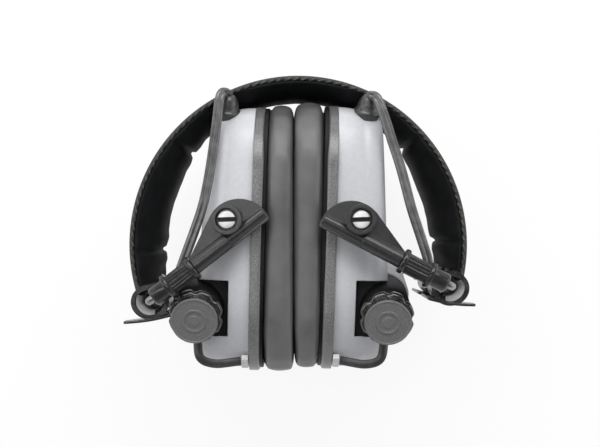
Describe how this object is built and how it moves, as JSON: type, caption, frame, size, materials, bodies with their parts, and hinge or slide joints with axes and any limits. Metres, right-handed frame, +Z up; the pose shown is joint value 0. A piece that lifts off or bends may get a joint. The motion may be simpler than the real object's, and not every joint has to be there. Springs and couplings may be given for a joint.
{
  "type": "earmuff hearing protector",
  "caption": "Folding electronic earmuff with padded leather headband, wire forks, pivoting cups and battery caps, folded.",
  "frame": {"origin": "middle of the flat ground that the folded earmuff lies on", "axes": "+X across the two cups, +Y towards the crown of the headband, +Z up, away from the ground that its rear side lies on"},
  "size_m": [0.1399, 0.1175, 0.0982],
  "materials": {
    "cover_leather": "grained leather with a sewn edge",
    "pad_leather": "soft padded leather",
    "band_steel": "blued spring steel",
    "fork_wire": "polished steel wire",
    "bracket_black": "grained moulded nylon",
    "adjuster_black": "satin moulded nylon",
    "shell_grey": "light cool grey satin plastic",
    "rim_black": "textured dark plastic",
    "cushion_grey": "smooth dark grey artificial leather over foam",
    "foam_black": "open cell foam",
    "speaker_dark": "moulded frame and magnet",
    "board_green": "circuit board",
    "microphone_metal": "small can",
    "housing_black": "moulded plastic",
    "cell_wrap": "plain wrapped cell",
    "contact_metal": "sprung contact",
    "cap_black": "soft touch moulded plastic",
    "button_black": "moulded rubber",
    "screw_steel": "turned steel",
    "rubber_black": "moulded rubber",
    "keeper_grey": "light grey plastic"
  },
  "bodies": {
    "headband": {"headband_cover": "cover_leather", "headband_pad": "pad_leather", "band_spring": "band_steel", "left_end_loop": "cover_leather", "right_end_loop": "cover_leather", "left_cable_grommet": "rubber_black", "right_cable_grommet": "rubber_black"},
    "left_fork": {"left_fork": "fork_wire"},
    "left_slider": {"left_front_adjuster": "adjuster_black", "left_front_bracket": "bracket_black", "left_rear_adjuster": "adjuster_black", "left_rear_bracket": "bracket_black", "left_lower_cable": "rubber_black"},
    "left_cup": {"left_cup_shell": "shell_grey", "left_rim_plate": "rim_black", "left_ear_cushion": "cushion_grey", "left_ear_foam": "foam_black", "left_sound_foam": "foam_black", "left_speaker": "speaker_dark", "left_circuit_board": "board_green", "left_microphone": "microphone_metal", "left_microphone_cover": "foam_black", "left_battery_housing": "housing_black", "left_battery": "cell_wrap", "left_battery_contact": "contact_metal", "left_pivot_screws": "screw_steel", "left_tether_strap": "rubber_black", "left_strap_keeper": "keeper_grey", "left_cable_boot": "rubber_black", "left_upper_cable": "rubber_black"},
    "left_battery_cap": {"left_battery_cap": "cap_black"},
    "right_fork": {"right_fork": "fork_wire"},
    "right_slider": {"right_front_adjuster": "adjuster_black", "right_front_bracket": "bracket_black", "right_rear_adjuster": "adjuster_black", "right_rear_bracket": "bracket_black", "right_lower_cable": "rubber_black"},
    "right_cup": {"right_cup_shell": "shell_grey", "right_rim_plate": "rim_black", "right_ear_cushion": "cushion_grey", "right_ear_foam": "foam_black", "right_sound_foam": "foam_black", "right_speaker": "speaker_dark", "right_circuit_board": "board_green", "right_microphone": "microphone_metal", "right_microphone_cover": "foam_black", "right_battery_housing": "housing_black", "right_battery": "cell_wrap", "right_battery_contact": "contact_metal", "right_pivot_screws": "screw_steel", "right_tether_strap": "rubber_black", "right_strap_keeper": "keeper_grey", "right_cable_boot": "rubber_black", "right_upper_cable": "rubber_black"},
    "right_battery_cap": {"right_battery_cap": "cap_black"},
    "right_volume_down_button": {"right_volume_down_button": "button_black"},
    "right_power_button": {"right_power_button": "button_black"},
    "right_volume_up_button": {"right_volume_up_button": "button_black"}
  },
  "joints": [
    {"name": "left_fold", "type": "hinge", "parent": "headband", "child": "left_fork", "pos_m": [-0.05554, -0.02856, 0.0491], "axis": [0, 0, -1], "range_deg": [0, 127.7], "deforming": ["left_ear_cushion", "left_upper_cable", "left_lower_cable", "right_ear_cushion", "right_upper_cable", "right_lower_cable"]},
    {"name": "left_height", "type": "slide", "parent": "left_fork", "child": "left_slider", "axis": [0.7912, 0.6115, 0], "range_m": [0, 0.0205]},
    {"name": "left_cup_pivot", "type": "hinge", "parent": "left_slider", "child": "left_cup", "pos_m": [-0.02632, 0.00199, 0.0491], "axis": [0, 0, 1], "range_deg": [0, 128]},
    {"name": "left_cap_turn", "type": "hinge", "parent": "left_cup", "child": "left_battery_cap", "pos_m": [-0.03852, -0.03359, 0.0857], "axis": [-0.0072, -0.2587, 0.9659], "range_deg": [0, 90]},
    {"name": "right_fold", "type": "hinge", "parent": "headband", "child": "right_fork", "pos_m": [0.0574, -0.02296, 0.0491], "axis": [0, 0, 1], "range_deg": [0, 117.6], "deforming": ["left_ear_cushion", "left_upper_cable", "left_lower_cable", "right_ear_cushion", "right_upper_cable", "right_lower_cable"]},
    {"name": "right_height", "type": "slide", "parent": "right_fork", "child": "right_slider", "axis": [-0.8862, 0.4633, 0], "range_m": [0, 0.0205]},
    {"name": "right_cup_pivot", "type": "hinge", "parent": "right_slider", "child": "right_cup", "pos_m": [0.02328, 0.00199, 0.0491], "axis": [0, 0, -1], "range_deg": [0, 117.9]},
    {"name": "right_cap_turn", "type": "hinge", "parent": "right_cup", "child": "right_battery_cap", "pos_m": [0.03347, -0.03421, 0.0857], "axis": [-0.0072, -0.2587, 0.9659], "range_deg": [0, 90]},
    {"name": "volume_down_button_press", "type": "slide", "parent": "right_cup", "child": "right_volume_down_button", "axis": [-0.9996, -0.0279, 0], "range_m": [0, 0.0006], "stiffness_N_per_m": 800, "springref_m": -0.001},
    {"name": "power_button_press", "type": "slide", "parent": "right_cup", "child": "right_power_button", "axis": [-0.9996, -0.0279, 0], "range_m": [0, 0.0006], "stiffness_N_per_m": 800, "springref_m": -0.001},
    {"name": "volume_up_button_press", "type": "slide", "parent": "right_cup", "child": "right_volume_up_button", "axis": [-0.9996, -0.0279, 0], "range_m": [0, 0.0006], "stiffness_N_per_m": 800, "springref_m": -0.001}
  ],
  "couplings": [
    {"joint": "left_height", "follows": "left_fold", "m_per_rad": 0.0086},
    {"joint": "left_cup_pivot", "follows": "left_fold", "ratio": 1},
    {"joint": "right_height", "follows": "right_fold", "m_per_rad": 0.0086},
    {"joint": "right_cup_pivot", "follows": "right_fold", "ratio": 1}
  ]
}
